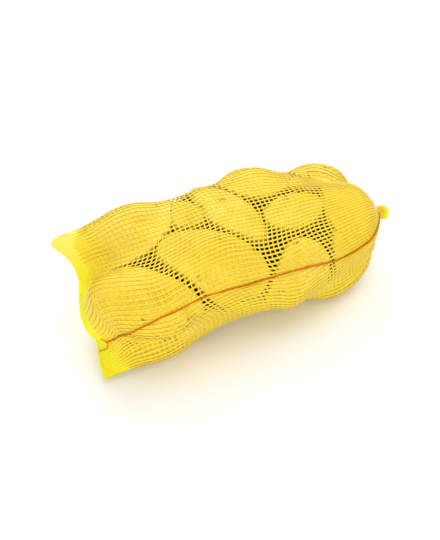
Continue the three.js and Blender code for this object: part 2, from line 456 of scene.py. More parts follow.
row_share = np.arange(ROWS + 1)[:, None] / ROWS
turn = 2 * np.pi * np.arange(LINES)[None, :] / LINES
noise.seed_set(WANDER_SEED)
wander = np.array([[noise.noise_vector(Vector(p) / WANDER_SIZE) for p in row] for row in net])
wander -= normals * (wander * normals).sum(axis=2, keepdims=True)
free = away_from_ends(row_share, WANDER_FROM_HEM, WANDER_FROM_NECK)
net = net + wander * WANDER * free[..., None]
spokes = [Vector((math.cos(t), math.sin(t), PLEAT_SHIFT_PLACE)) for t in turn[0]]
uneven = np.array([noise.noise(spoke * PLEAT_SHIFT_SIZE) for spoke in spokes])
wave = 0.5 + 0.5 * np.sin(PLEATS * turn + PLEAT_SHIFT * uneven[None])
pleat = PLEAT_DEPTH * eased(row_share, PLEATS_FROM, 1.0) * wave
net = net - normals * pleat[..., None]
print("deepest pleat", round(float(pleat.max()), 2), "mm")

# %% [markdown]
# The shape of a potato
#
# The sixteen large potatoes fill the net more fully than the balls that hold it out, and eight small ones
# lie between them. Some are pale and some golden. A potato is lumpy, one end is often thinner, and it has
# eyes: shallow dimples, closer together near one end. It could be sculpted by hand, but a finely divided
# ball can be pressed into that shape point by point, and each potato then comes out a little different. All
# the pressing goes inwards, so the tight net outside is never pierced. Two potatoes that touch get a flat
# spot between them, found by pulling each point back along its own radius until it is as deep in its own
# potato as in the neighbour.

# %% The shape of a potato
POTATOES = [
    ((-98, 41, 85), (124, 96, 80), 15, 0),
    ((-125, -48, 78), (138, 82, 80), -42, 0),
    ((-44, -29, 83), (130, 82, 80), -36, 0),
    ((0, 13, 83), (132, 75, 70), 111, -5),
    ((45, 54, 86), (100, 83, 66), -24, 0),
    ((128, 61, 59), (88, 68, 70), -20, 0),
    ((63, -3, 84), (98, 60, 62), 8, 0),
    ((127, -9, 72), (116, 90, 80), 81, 0),
    ((40, -60, 60), (96, 80, 66), 22, -48),
    ((-94, -41, 22), (113, 56, 56), 13, 0),
    ((107, -29, 26), (107, 60, 60), 22, -9),
    ((-2, -3, 24), (94, 58, 58), 12, 0),
    ((-100, 29, 28), (112, 72, 70), 20, 0),
    ((-16, 48, 27), (89, 66, 66), -20, 0),
    ((57, 32, 26), (72, 63, 66), 30, 0),
    ((112, 28, 22), (68, 56, 56), 60, 0),
    ((-43, 29, 85), (92, 74, 58), -20, 0),
    ((-18, -50, 44), (84, 54, 56), 5, 0),
    ((-144, -27, 48), (46, 58, 54), 0, 0),
    ((103, -38, 63), (58, 58, 64), 30, 0),
    ((91, 29, 79), (68, 54, 60), 0, 0),
    ((-14, 58, 58), (76, 46, 46), -10, 0),
    ((66, 62, 48), (66, 48, 56), 15, 0),
    ((-69, -60, 49), (56, 44, 60), 0, 0),
]
PALE_POTATOES = {0, 3, 4, 5, 6, 8, 11, 13, 18}
PALE_TONES = (0.7, 1.0)
GOLDEN_TONES = (0.0, 0.3)
SEED = 41
DIVISIONS = 5
EYES_PER_POTATO = 8
EYE_SPREAD = 1.9
EYE_CROWDING = 1.6
EYE_HALF_WIDTH = 5.0
EYE_DEPTH = 1.2
LUMP_DEPTH = 1.2
LUMP_BASE = 0.45
LUMP_SCALE = 1.3
LUMP_FRACTAL = (1.0, 2.0, 2)
RIPPLE_DEPTH = 0.25
RIPPLE_SCALE = 5.0
TAPER_DEPTH = 2.2
NOISE_SHIFT = (7.3, 3.1, 5.7)


def eye_directions(draw):
    """Directions of the eyes on the unit ball, crowded towards the +X end."""
    directions = []
    for _ in range(EYES_PER_POTATO):
        lengthways = 1 - EYE_SPREAD * draw.random() ** EYE_CROWDING
        angle = draw.uniform(0, 2 * math.pi)
        outward = math.sqrt(max(0.0, 1 - lengthways ** 2))
        directions.append(Vector((lengthways, outward * math.cos(angle), outward * math.sin(angle))))
    return directions


def pressed_ball(potato, number, draw):
    """A bmesh of one smooth potato in millimetres, and how deep its lumps and eyes are at each point."""
    maker = bmesh.new()
    bmesh.ops.create_icosphere(maker, subdivisions=DIVISIONS, radius=1)
    to_potato = ball_matrix(potato, 0)
    eyes = [to_potato @ direction for direction in eye_directions(draw)]
    eye_layer = maker.verts.layers.float.new("eye")
    tone_layer = maker.verts.layers.float.new("tone")
    tone = draw.uniform(*(PALE_TONES if number in PALE_POTATOES else GOLDEN_TONES))
    thin_end = draw.choice((-1, 1))
    noise_shift = Vector([number * shift for shift in NOISE_SHIFT])
    lumps = []
    hollows = []
    for vert in maker.verts:
        direction = vert.co.normalized()
        point = to_potato @ direction
        lump = noise.fractal(direction * LUMP_SCALE + noise_shift, *LUMP_FRACTAL)
        ripple = noise.noise(direction * RIPPLE_SCALE + noise_shift)
        press = LUMP_DEPTH * max(0.0, LUMP_BASE + lump) + RIPPLE_DEPTH * (1 + ripple)
        press += TAPER_DEPTH * max(0.0, direction.x * thin_end) ** 2 * (1 - direction.x ** 2)
        hollow = max(1 - ((point - eye).length / EYE_HALF_WIDTH) ** 2 for eye in eyes)
        hollow = max(0.0, hollow) ** 2
        lumps.append(press)
        hollows.append(EYE_DEPTH * hollow)
        vert.co = point
        vert[eye_layer] = hollow
        vert[tone_layer] = tone
    return maker, np.array(lumps), np.array(hollows)


draw = random.Random(SEED)
pressed_potatoes = [pressed_ball(potato, number, draw) for number, potato in enumerate(POTATOES)]
print("potatoes pressed:", len(pressed_potatoes))

# %% Flat spots where potatoes touch
PULL_BACK_STEPS = 24
FLAT_SPOT_GAP = 0.99
LOWEST_POINT = 1.9
to_balls = [np.array(ball_matrix(potato, 0).inverted()) for potato in POTATOES]
middles = np.array([potato[0] for potato in POTATOES], float)


def depth_in(points, number):
    """How far out each point lies in a potato: 0 in its middle, 1 on its skin."""
    matrix = to_balls[number]
    return np.linalg.norm(points @ matrix[:3, :3].T + matrix[:3, 3], axis=1)


def pulled_back(points, number):
    """Points of one potato, moved back wherever they are inside a neighbour."""
    middle = middles[number]
    for other in range(len(POTATOES)):
        if other == number:
            continue
        caught = np.flatnonzero(depth_in(points, other) < 1)
        if len(caught) == 0:
            continue
        rays = points[caught] - middle
        near = np.zeros(len(caught))
        far = np.ones(len(caught))
        for _ in range(PULL_BACK_STEPS):
            share = (near + far) / 2
            tried = middle + rays * share[:, None]
            inside = depth_in(tried, other) < depth_in(tried, number)
            far = np.where(inside, share, far)
            near = np.where(inside, near, share)
        points[caught] = middle + rays * (near * FLAT_SPOT_GAP)[:, None]
    points[:, 2] = np.maximum(points[:, 2], LOWEST_POINT)
    return points


print("potatoes that may touch:", len(to_balls))

# %% [markdown]
# Under the net
#
# A tight net and the potatoes in it take each other's form, so that the net lies snugly on each of them. A
# point of a potato that would stand out is moved in to just under the nearest place of the net, and the
# lumps are shallower there. Little light gets down between the potatoes. How deep a point lies under the net
# is stored on it, and the skin finish uses that mark to paint that shade into the gaps: painted shade,
# darker the deeper a point lies.

# %% Under the net
UNDER_NET = 0.1
TUCKING_ROUNDS = 2
COVER_FINENESS = 2
fine_rows = COVER_FINENESS * ROWS
fine_lines = COVER_FINENESS * LINES
cover_points = divided(net, fine_rows, fine_lines).reshape(-1, 3)
cover_normals = unit(divided(normals, fine_rows, fine_lines).reshape(-1, 3))
cover = KDTree(len(cover_points))
for index, point in enumerate(cover_points):
    cover.insert(point, index)
cover.balance()


def nearest_cover(points):
    """The nearest places of the net, their distances, and how far outside of the net the points lie."""
    found = [cover.find(point) for point in points]
    index = np.array([number for _, number, _ in found])
    outside = ((points - cover_points[index]) * cover_normals[index]).sum(axis=1)
    return index, np.array([distance for _, _, distance in found]), outside


def tucked_in(points):
    """Points moved in until they are a little under the net."""
    for _ in range(TUCKING_ROUNDS):
        index, _, outside = nearest_cover(points)
        points = points - cover_normals[index] * np.maximum(0, outside + UNDER_NET)[:, None]
    return points


print("places of the net to tuck potatoes under:", len(cover_points))

# %% The filling
SNUG_TO = 5.0
SNUG_LUMPS = 0.2
# Depths under the net, in millimetres, over which the painted shade of the gaps rises from none to full.
GAP_SHADE_FROM_DEPTH = 0.5
GAP_SHADE_TO_DEPTH = 4.4
LITRES_PER_CUBIC_METRE = 1000


def shade_smooth(maker):
    """Shades the faces as one round surface."""
    for face in maker.faces:
        face.smooth = True
    return maker


def add_parts(maker, parts):
    """Joins finished parts to a bmesh."""
    for part in parts:
        part_mesh = bpy.data.meshes.new("part")
        part.to_mesh(part_mesh)
        part.free()
        maker.from_mesh(part_mesh)
        bpy.data.meshes.remove(part_mesh)


filling = bmesh.new()
litres = 0.0
for number, (maker, lumps, hollows) in enumerate(pressed_potatoes):
    points = pulled_back(np.array([vert.co for vert in maker.verts]), number)
    points = tucked_in(points)
    _, away, _ = nearest_cover(points)
    presses = hollows + lumps * (SNUG_LUMPS + (1 - SNUG_LUMPS) * eased(away, UNDER_NET, SNUG_TO))
    points = points + unit(middles[number] - points) * presses[:, None]
    points[:, 2] = np.maximum(points[:, 2], LOWEST_POINT)
    _, _, outside = nearest_cover(points)
    # Painted shade: the stored mark says how far the skin is darkened for its depth under the net.
    painted_gap_shade_layer = maker.verts.layers.float.new("deep")
    for vert, point, deep in zip(maker.verts, points, eased(-outside, GAP_SHADE_FROM_DEPTH, GAP_SHADE_TO_DEPTH)):
        vert.co = Vector(point) * MM
        vert[painted_gap_shade_layer] = deep
    litres += maker.calc_volume() * LITRES_PER_CUBIC_METRE
    add_parts(filling, [shade_smooth(maker)])
print("filling joined:", len(filling.verts), "points,", round(litres, 2), "litres")

# %% [markdown]
# Potato skin
#
# Washed yellow potatoes have a thin matt skin: golden or paler, blotched lighter and browner over a few
# centimetres, sprinkled with small brown pores, and darker in the eyes. It could be painted on a picture
# that is wrapped round each potato. Noise of three sizes needs no picture and has no seam: it gives the
# blotches, the pores and the fine roughness. The amounts that were stored on the points mark the pale
# potatoes and the eyes, and the depth under the net sets the painted shade that darkens the skin in the
# gaps between potatoes.

# %% Helpers for finishes
# A Mix node has sockets for each kind of data, and these are the ones for colours.
MIX_FIRST = 6
MIX_SECOND = 7
MIX_RESULT = 2


def add_node(tree, kind, **values):
    """A new node whose named inputs are set to plain values."""
    node = tree.nodes.new(kind)
    for name, value in values.items():
        node.inputs[name].default_value = value
    return node


def lay_on(tree, *textures):
    """Lays textures on the piece's own coordinates."""
    place = tree.nodes.new("ShaderNodeTexCoord").outputs["Object"]
    for texture in textures:
        tree.links.new(place, texture.inputs["Vector"])


def stored_mark(tree, name):
    """The amount that is stored on the points under a name."""
    mark = tree.nodes.new("ShaderNodeAttribute")
    mark.attribute_name = name
    return mark.outputs["Fac"]


def add_bump(tree, shader, texture, strength, distance):
    """Fine relief that follows a texture."""
    bump = add_node(tree, "ShaderNodeBump", Strength=strength, Distance=distance)
    tree.links.new(texture.outputs["Fac"], bump.inputs["Height"])
    tree.links.new(bump.outputs["Normal"], shader.inputs["Normal"])


def colour_ramp(tree, source, stops):
    """A ramp over a grey value: pairs of position and colour."""
    ramp = tree.nodes.new("ShaderNodeValToRGB")
    while len(ramp.color_ramp.elements) < len(stops):
        ramp.color_ramp.elements.new(0.5)
    for element, (position, colour) in zip(ramp.color_ramp.elements, stops):
        element.position = position
        element.color = (*colour, 1)
    tree.links.new(source, ramp.inputs["Fac"])
    return ramp.outputs["Color"]


def mixed_colour(tree, amount, first, second):
    """Two colours mixed by a grey value."""
    mix = tree.nodes.new("ShaderNodeMix")
    mix.data_type = "RGBA"
    tree.links.new(amount, mix.inputs["Factor"])
    for socket, colour in ((mix.inputs[MIX_FIRST], first), (mix.inputs[MIX_SECOND], second)):
        if isinstance(colour, tuple):
            socket.default_value = (*colour, 1)
        else:
            tree.links.new(colour, socket)
    return mix.outputs[MIX_RESULT]


print("helpers for finishes are ready")

# %% Potato skin
SKIN_ROUGHNESS = 0.6
PORE_COLOUR = (0.45, 0.24, 0.06)
EYE_COLOUR = (0.52, 0.30, 0.06)
# Painted shade: the near-black that the skin is darkened to deep in the gaps, where little light reaches.
PAINTED_GAP_SHADE_COLOUR = (0.014, 0.004, 0.001)
potato_skin, skin_tree, skin_shader = new_material("potato_skin", SKIN_ROUGHNESS)
blotches = add_node(skin_tree, "ShaderNodeTexNoise", Scale=38.0, Detail=4.0, Roughness=0.6)
pores = add_node(skin_tree, "ShaderNodeTexVoronoi", Scale=260.0, Randomness=1.0)
grain = add_node(skin_tree, "ShaderNodeTexNoise", Scale=900.0, Detail=3.0, Roughness=0.6)
lay_on(skin_tree, blotches, pores, grain)

golden_skin = colour_ramp(skin_tree, blotches.outputs["Fac"], [
    (0.30, (0.74, 0.47, 0.03)),
    (0.48, (0.86, 0.61, 0.05)),
    (0.70, (0.91, 0.69, 0.09)),
])
pale_skin = colour_ramp(skin_tree, blotches.outputs["Fac"], [
    (0.30, (0.78, 0.52, 0.06)),
    (0.48, (0.89, 0.67, 0.12)),
    (0.70, (0.93, 0.75, 0.20)),
])
toned = mixed_colour(skin_tree, stored_mark(skin_tree, "tone"), golden_skin, pale_skin)
pore_shade = colour_ramp(skin_tree, pores.outputs["Distance"], [
    (0.06, (0.4, 0.4, 0.4)),
    (0.16, (0.0, 0.0, 0.0)),
])
speckled = mixed_colour(skin_tree, pore_shade, toned, PORE_COLOUR)
eyed = mixed_colour(skin_tree, stored_mark(skin_tree, "eye"), speckled, EYE_COLOUR)
# Painted shade: the skin colour is darkened towards that near-black by the stored depth mark.
skin_with_painted_gap_shade = mixed_colour(skin_tree, stored_mark(skin_tree, "deep"), eyed, PAINTED_GAP_SHADE_COLOUR)
skin_tree.links.new(skin_with_painted_gap_shade, skin_shader.inputs["Base Color"])
skin_shader.inputs["Specular IOR Level"].default_value = 0.2
add_bump(skin_tree, skin_shader, grain, strength=0.35, distance=0.0006)
potatoes = new_piece("potatoes", filling, potato_skin)

# %% [markdown]
# Strands
#
# The net is knitted from narrow plastic tape. A picture of a net on a smooth skin would be quicker, but the
# openings would have no depth, so each strand is a flat tube of its own. A strip of grid can be rolled into
# a tube and bent along any course: the row of a point on the strip says how far along the tube it goes, its
# column says how far round. One strip is copied for each strand, all points are put in place at once, and
# the seams are welded.

# %% Rolling strips into tubes
FLOOR_CLEARANCE = 0.1
WELD_DISTANCE = 1e-7


def welded(maker):
    """Joins points that lie on each other, turns the faces outwards and shades them smooth."""
    bmesh.ops.remove_doubles(maker, verts=maker.verts, dist=WELD_DISTANCE)
    bmesh.ops.recalc_face_normals(maker, faces=maker.faces)
    return shade_smooth(maker)


def close_ends(*radii):
    """Draws tubes to a point at both ends."""
    for values in radii:
        values[:, [0, -1]] = 0


def rolled_tubes(courses, outward, half_widths, half_heights, sides):
    """A bmesh of tubes in metres. Courses are in millimetres, one strand after the other."""
    strands, points = courses.shape[:2]
    strip = bmesh.new()
    bmesh.ops.create_grid(strip, x_segments=sides, y_segments=points - 1, size=1)
    strip_mesh = bpy.data.meshes.new("strip")
    strip.to_mesh(strip_mesh)
    strip.free()
    flat = np.zeros(len(strip_mesh.vertices) * 3)
    strip_mesh.vertices.foreach_get("co", flat)
    flat = flat.reshape(-1, 3)
    column = np.rint((flat[:, 0] + 1) / 2 * sides).astype(int)
    row = np.rint((flat[:, 1] + 1) / 2 * (points - 1)).astype(int)
    along = unit(np.gradient(courses, axis=1) + TINY)
    outward = unit(outward - along * (outward * along).sum(axis=2, keepdims=True) + TINY)
    sideways = np.cross(along, outward)
    angle = 2 * np.pi * (column % sides) / sides
    rolled = (
        courses[:, row]
        + sideways[:, row] * (half_widths[:, row] * np.cos(angle))[..., None]
        + outward[:, row] * (half_heights[:, row] * np.sin(angle))[..., None]
    )
    rolled[..., 2] = np.maximum(rolled[..., 2], FLOOR_CLEARANCE)
    tubes = bmesh.new()
    for _ in range(strands):
        tubes.from_mesh(strip_mesh)
    bpy.data.meshes.remove(strip_mesh)
    for vert, point in zip(tubes.verts, rolled.reshape(-1, 3)):
        vert.co = point * MM
    return welded(tubes)


print("strands are welded at", WELD_DISTANCE, "m")

# %% [markdown]
# How open the net is
#
# Over the potatoes the net is stretched open. Close to the hem, where it lies folded, and along the near
# side, where it is slack, the strands crowd together and the openings close. At the ends of the sack, where
# no potato lies behind it, the tape is bare and keeps its own lemon-yellow; over a potato the light that
# comes through the tape from it is painted in as gold, and at the far corner the white light from behind is
# painted in as a paler yellow. Both are worked out for any point from its distance to the potatoes and to the
# hem.

# %% How open the net is
BARE_FROM = 2.0
BARE_TO = 9.0
HEM_END = (115, 150)
NECK_END = (150, 166)
HEM_BAND_FROM = 8.0
HEM_BAND_TO = 16.0
CLOSED_FROM = 18.0
CLOSED_TO = 46.0
FAR_CORNER = (15.0, 48.0)
FAR_END = (100.0, 140.0)
SLACK_BEGINS = (30, 38)
SLACK_ENDS = (50, 58)
SLACK_ROWS_END = (0.82, 0.94)
SLACK_CLOSING = 0.45


def bareness(points):
    """How bare the net is at the ends of the sack: 0 on a potato, 1 far from all of them."""
    away = np.full(len(points), np.inf)
    for number in range(len(POTATOES)):
        depth = depth_in(points, number)
        reach = np.linalg.norm(points - middles[number], axis=1)
        away = np.minimum(away, reach * (1 - 1 / np.maximum(depth, 1)))
    near_end = np.maximum(eased(-points[:, 0], *HEM_END), eased(points[:, 0], *NECK_END))
    from_hem = np.min([np.linalg.norm(points - hem_point, axis=1) for hem_point in net[0]], axis=0)
    hem_band = 1 - eased(from_hem, HEM_BAND_FROM, HEM_BAND_TO)
    return np.maximum(hem_band, eased(away, BARE_FROM, BARE_TO) * near_end)


def mark_bare_and_painted_backlight(maker):
    """Stores on each point how bare the net is there, and how much painted backlight lightens the far corner.
    """
    points = np.array([vert.co for vert in maker.verts]) / MM
    amounts = bareness(points)
    # Painted light: at the far corner, where no potato lies behind, white light from behind is painted in.
    painted_backlight_amounts = amounts * eased(points[:, 1], *FAR_CORNER) * eased(-points[:, 0], *FAR_END)
    bare_layer = maker.verts.layers.float.new("bare")
    painted_backlight_layer = maker.verts.layers.float.new("painted_backlight")
    for vert, amount, painted_backlight in zip(maker.verts, amounts, painted_backlight_amounts):
        vert[bare_layer] = amount
        vert[painted_backlight_layer] = painted_backlight
    return maker


spacing = np.linalg.norm(np.roll(net, -1, axis=1) - net, axis=2)
row_spacing = np.linalg.norm(np.gradient(net, axis=0), axis=2)
hem_distance = np.arange(ROWS + 1)[:, None] * row_spacing
closed = bareness(net.reshape(-1, 3)).reshape(spacing.shape)
closed = np.maximum(closed, 1 - eased(hem_distance, CLOSED_FROM, CLOSED_TO))
line_number = np.arange(LINES)[None]
slack = eased(line_number, *SLACK_BEGINS) * (1 - eased(line_number, *SLACK_ENDS))
slack = slack * (1 - eased(row_share, *SLACK_ROWS_END))
closed = np.maximum(closed, SLACK_CLOSING * slack)
print("lines are", round(float(np.median(spacing)), 2), "mm apart at the median")

# %% [markdown]
# Strands along and round the sack
#
# Strands along the sack are knitted chains: wide and flat at each stitch, where they hold a strand that runs
# round, and narrower between. Strands round the sack lie a little deeper and spread where they cross a
# chain. A strand never gets much wider than the room between its neighbours, and where the net is closed it
# fills that room. Two points for each mesh are enough for both, because the tape is small.

# %% Strands along the sack
STITCH_HALF_WIDTH = 1.3
STITCH_HALF_HEIGHT = 0.26
CHAIN_HALF_WIDTH = 0.9
CHAIN_HALF_HEIGHT = 0.22
CHAIN_ROOM = 0.6
THINNEST_CHAIN = 0.25
CLOSED_ROOM = 0.56
FLATTENED = 0.4
CHAIN_LIFT = 0.1
CHAIN_SIDES = 6
NET_ROUGHNESS = 0.38
net_plastic, net_tree, net_shader = new_material("net_plastic", NET_ROUGHNESS)


def above_floor(courses, half_heights):
    """Lifts strands that would sink into the floor."""
    lifted = courses.copy()
    lifted[..., 2] = np.maximum(lifted[..., 2], half_heights + FLOOR_CLEARANCE)
    return lifted


def amounts_divided(amounts, rows, lines):
    """One number for each crossing, read for other numbers of rows and lines."""
    return divided(amounts[..., None], rows, lines)[..., 0]


chains = divided(net, fine_rows, LINES).transpose(1, 0, 2)
chain_normals = unit(divided(normals, fine_rows, LINES)).transpose(1, 0, 2)
crowding = amounts_divided(spacing, fine_rows, LINES).T
chain_closed = amounts_divided(closed, fine_rows, LINES).T
at_stitch = (np.arange(fine_rows + 1) % 2 == 0)[None]
chain_width = np.where(at_stitch, STITCH_HALF_WIDTH, CHAIN_HALF_WIDTH)
chain_width = np.minimum(chain_width, CHAIN_ROOM * crowding).clip(THINNEST_CHAIN)
chain_width = chain_width + (CLOSED_ROOM * crowding - chain_width).clip(0) * chain_closed
chain_height = np.minimum(np.where(at_stitch, STITCH_HALF_HEIGHT, CHAIN_HALF_HEIGHT), chain_width)
chain_height = chain_height * (1 - FLATTENED * chain_closed)
close_ends(chain_width, chain_height)
chains = above_floor(chains + chain_normals * CHAIN_LIFT, chain_height)
along_tubes = rolled_tubes(chains, chain_normals, chain_width, chain_height, CHAIN_SIDES)
net_along = new_piece("net_along", mark_bare_and_painted_backlight(along_tubes), net_plastic)

# %% Strands round the sack
CROSSING_HALF_WIDTH = 1.15
ROUND_HALF_WIDTH = 0.75
ROUND_HALF_HEIGHT = 0.18
ROUND_DEPTH = 0.05
ROUND_ROOM = 0.8
THINNEST_ROUND = 0.2
ROUND_SIDES = 5


def ring_tubes(courses, outward, half_widths, half_heights):
    """Tubes that run once round the sack, back to where they began."""
    lifted = above_floor(courses, half_heights)
    values = [looped(value) for value in (lifted, outward, half_widths, half_heights)]
    return rolled_tubes(*values, ROUND_SIDES)


rounds = divided(net - normals * ROUND_DEPTH, ROWS, fine_lines)[1:-1]
round_normals = unit(divided(normals, ROWS, fine_lines)[1:-1])
row_room = amounts_divided(row_spacing, ROWS, fine_lines)[1:-1]
line_room = amounts_divided(spacing, ROWS, fine_lines)[1:-1]
round_closed = amounts_divided(closed, ROWS, fine_lines)[1:-1]
at_crossing = (np.arange(fine_lines) % 2 == 0)[None]
round_width = np.where(at_crossing, CROSSING_HALF_WIDTH, ROUND_HALF_WIDTH)
round_width = round_width + (CLOSED_ROOM * row_room - round_width).clip(0) * round_closed
round_width = np.minimum(round_width, ROUND_ROOM * line_room).clip(THINNEST_ROUND)
round_height = np.minimum(ROUND_HALF_HEIGHT, round_width)
round_tubes = ring_tubes(rounds, round_normals, round_width, round_height)
print("strands round the sack:", len(rounds))

# %% [markdown]
# The hem
#
# At the sewn end the two layers of the net are folded over and stitched flat, which leaves a stiff
# lemon-yellow band with hardly an opening in it. It is laid as a few thick strands close together, and one
# flat cord along the outer edge closes the gap between the layers.

# %% The hem
HEM_ROWS = [0.0, 0.28, 0.56, 0.84, 1.12, 1.4, 1.68]
HEM_HALF_WIDTH = 0.95
HEM_HALF_HEIGHT = 0.7
EDGE_POINTS = 120
EDGE_HALF_WIDTH = 1.3
EDGE_OPENS_WITHIN = 0.05
EDGE_SIDES = 10
hem_cords = np.stack([net[0] + (net[2] - net[0]) * share / 2 for share in HEM_ROWS])
hem_normals = np.stack([normals[1]] * len(HEM_ROWS))
hem_room = np.linalg.norm(np.roll(hem_cords, -1, axis=1) - hem_cords, axis=2)
hem_width = np.minimum(HEM_HALF_WIDTH, ROUND_ROOM * hem_room).clip(THINNEST_ROUND)
hem_height = np.full(hem_width.shape, HEM_HALF_HEIGHT)
hem_tubes = ring_tubes(hem_cords, hem_normals, hem_width, hem_height)

edge_share = np.linspace(0, 1, EDGE_POINTS)
edge = smooth_course(HEM_POINTS, edge_share)[None]
edge_opening = SHEET_THICKNESS / 2 * away_from_ends(edge_share, EDGE_OPENS_WITHIN, EDGE_OPENS_WITHIN)
edge_height = (HEM_HALF_HEIGHT + edge_opening)[None]
edge_width = np.full(edge_height.shape, EDGE_HALF_WIDTH)
close_ends(edge_width, edge_height)
edge_normals = np.tile(sheet_normal, (1, EDGE_POINTS, 1))
edge_tube = rolled_tubes(edge, edge_normals, edge_width, edge_height, EDGE_SIDES)
add_parts(round_tubes, (hem_tubes, edge_tube))
net_round = new_piece("net_round", mark_bare_and_painted_backlight(round_tubes), net_plastic)

# %% [markdown]
# Neck and knot
#
# Beyond the neck all the strands run on in one bunch, which is bound and then hooks over in a small knob.
# The knob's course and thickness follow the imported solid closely. Single strands would hardly be told apart
# at this size, so the bunch is a core with grooves: rings with a scalloped outline, turned a little from
# ring to ring so that the bunch is twisted, and closed at the tip. Each ring has a middle and a radius.

# %% Neck and knot
KNOT_RINGS = [
    ((163, -2, 63.7), 5.4), ((166, -2, 64.4), 3.4), ((168.5, -2, 64.6), 2.5), ((171, -2, 64.4), 2.7),
    ((174.5, -2, 62.6), 4.4), ((177.5, -2, 59.2), 5.6), ((178.6, -2, 55.0), 5.9),
    ((178.2, -2, 50.8), 5.2), ((177.4, -2, 47.8), 3.2), ((176.8, -2, 46.2), 0.0),
]
KNOT_STRANDS = 13
KNOT_POINTS = 78
KNOT_LENGTHWAYS = 60
KNOT_TWIST = 1.6
GROOVE_DEPTH = 0.22

ring_places = np.array([place for place, _ in KNOT_RINGS], float)
ring_radii = [radius for _, radius in KNOT_RINGS]
ring_walk = lengths_along(ring_places)
knot_shares = np.linspace(0, 1, KNOT_LENGTHWAYS + 1)
knot_middles = smooth_course(ring_places, knot_shares)
knot_radii = np.interp(knot_shares, ring_walk / ring_walk[-1], ring_radii)
knot_radii[1:-1] = (knot_radii[:-2] + 2 * knot_radii[1:-1] + knot_radii[2:]) / 4
knot_along = unit(np.gradient(knot_middles, axis=0))
knot_side = unit(np.cross(knot_along, (0.0, 1.0, 0.0)))
knot_up = np.cross(knot_along, knot_side)
knot = bmesh.new()
bmesh.ops.create_grid(knot, x_segments=KNOT_POINTS, y_segments=KNOT_LENGTHWAYS, size=1)
for vert in knot.verts:
    column = round((vert.co.x + 1) / 2 * KNOT_POINTS) % KNOT_POINTS
    ring = round((vert.co.y + 1) / 2 * KNOT_LENGTHWAYS)
    angle = 2 * math.pi * column / KNOT_POINTS
    twist = KNOT_TWIST * ring / KNOT_LENGTHWAYS
    scallop = abs(math.cos(KNOT_STRANDS / 2 * angle))
    radius = knot_radii[ring] * (1 - GROOVE_DEPTH * (1 - scallop))
    spoke = knot_side[ring] * math.cos(angle + twist) + knot_up[ring] * math.sin(angle + twist)
    vert.co = Vector(knot_middles[ring] + spoke * radius) * MM
net_knot = new_piece("net_knot", mark_bare_and_painted_backlight(welded(knot)), net_plastic)

# %% [markdown]
# Net plastic
#
# The tape is satin yellow plastic that lets a little light through. Its own colour is lemon-yellow, as where
# it is bare. The light that comes through it from a potato behind is painted into its colour as gold, and at
# the far corner the white light from behind is painted in as a paler yellow; the marks that were stored on
# the points mix these colours. Slow noise changes the gold and the lemon a little from place to place. Fine
# noise in the relief breaks the gloss up, and a soft sheen lightens the tape where it turns away, as many
# thin strands do.

# %% Net plastic
# Painted light: the pale yellow that stands for white light coming through the tape from behind.
PAINTED_BACKLIGHT_COLOUR = (0.96, 0.85, 0.13)
SHEEN_COLOUR = (1.0, 0.97, 0.75, 1.0)
tape_tone = add_node(net_tree, "ShaderNodeTexNoise", Scale=120.0, Detail=3.0, Roughness=0.6)
tape_lines = add_node(net_tree, "ShaderNodeTexNoise", Scale=2200.0, Detail=2.0, Roughness=0.5)
lay_on(net_tree, tape_tone, tape_lines)
# Painted light: the gold over the potatoes stands for their light coming through the tape.
golden_tape_with_painted_potato_light = colour_ramp(net_tree, tape_tone.outputs["Fac"], [
    (0.30, (0.89, 0.62, 0.025)),
    (0.50, (0.92, 0.67, 0.034)),
    (0.70, (0.94, 0.71, 0.05)),
])
lemon_tape = colour_ramp(net_tree, tape_tone.outputs["Fac"], [
    (0.30, (0.92, 0.80, 0.012)),
    (0.70, (0.95, 0.87, 0.035)),
])
# Painted light: the lemon tape is lightened towards that pale yellow by the stored far-corner mark.
lemon_tape_with_painted_backlight = mixed_colour(net_tree, stored_mark(net_tree, "painted_backlight"), lemon_tape, PAINTED_BACKLIGHT_COLOUR)
tape_colour = mixed_colour(net_tree, stored_mark(net_tree, "bare"), golden_tape_with_painted_potato_light, lemon_tape_with_painted_backlight)
net_tree.links.new(tape_colour, net_shader.inputs["Base Color"])
net_shader.inputs["Specular IOR Level"].default_value = 0.5
net_shader.inputs["Sheen Weight"].default_value = 0.2
net_shader.inputs["Sheen Roughness"].default_value = 0.4
net_shader.inputs["Sheen Tint"].default_value = SHEEN_COLOUR
net_shader.inputs["Transmission Weight"].default_value = 0.08
net_shader.inputs["IOR"].default_value = 1.2
add_bump(net_tree, net_shader, tape_lines, strength=0.3, distance=0.0002)
print("net plastic has", len(net_tree.nodes), "nodes")

# %% [markdown]
# Seam thread
#
# The side of the sack is closed with an orange sewing thread. It is two plies twisted round each other, and
# a thinner thread zigzags across it and ties it to the net. At the hem it ends in a small tie with two loose
# ends. A curve with a round bevel would give a plain cord, so the plies are rolled tubes again, whose
# courses wind round the seam's own course. That course is given as rows and lines of the rough net, so it
# lies on the net wherever it goes.

# %% The seam's course
THREAD_COURSE = [
    (2.0, 18.9), (7.2, 17.0), (13.4, 15.75), (19.8, 16.3), (27.2, 17.5), (34.8, 18.7), (40.6, 20.1),
    (44.0, 20.5), (46.6, 20.1), (48.8, 19.1), (50.8, 17.8), (52.6, 16.8), (54.3, 16.1), (55.9, 15.8),
]
COURSE_POINTS = 120

rough_normals = net_normals(rough_net)
course = smooth_course([(row, line, 0) for row, line in THREAD_COURSE], np.linspace(0, 1, COURSE_POINTS))
first_row = course[:, 0].astype(int)
first_line = course[:, 1].astype(int)
row_part = (course[:, 0] - first_row)[:, None]
line_part = (course[:, 1] - first_line)[:, None]


def on_course(values):
    """Values read between four neighbouring crossings of the rough net."""
    near = values[first_row] * (1 - row_part[..., None]) + values[first_row + 1] * row_part[..., None]
    each = np.arange(len(near))
    return near[each, first_line] * (1 - line_part) + near[each, first_line + 1] * line_part


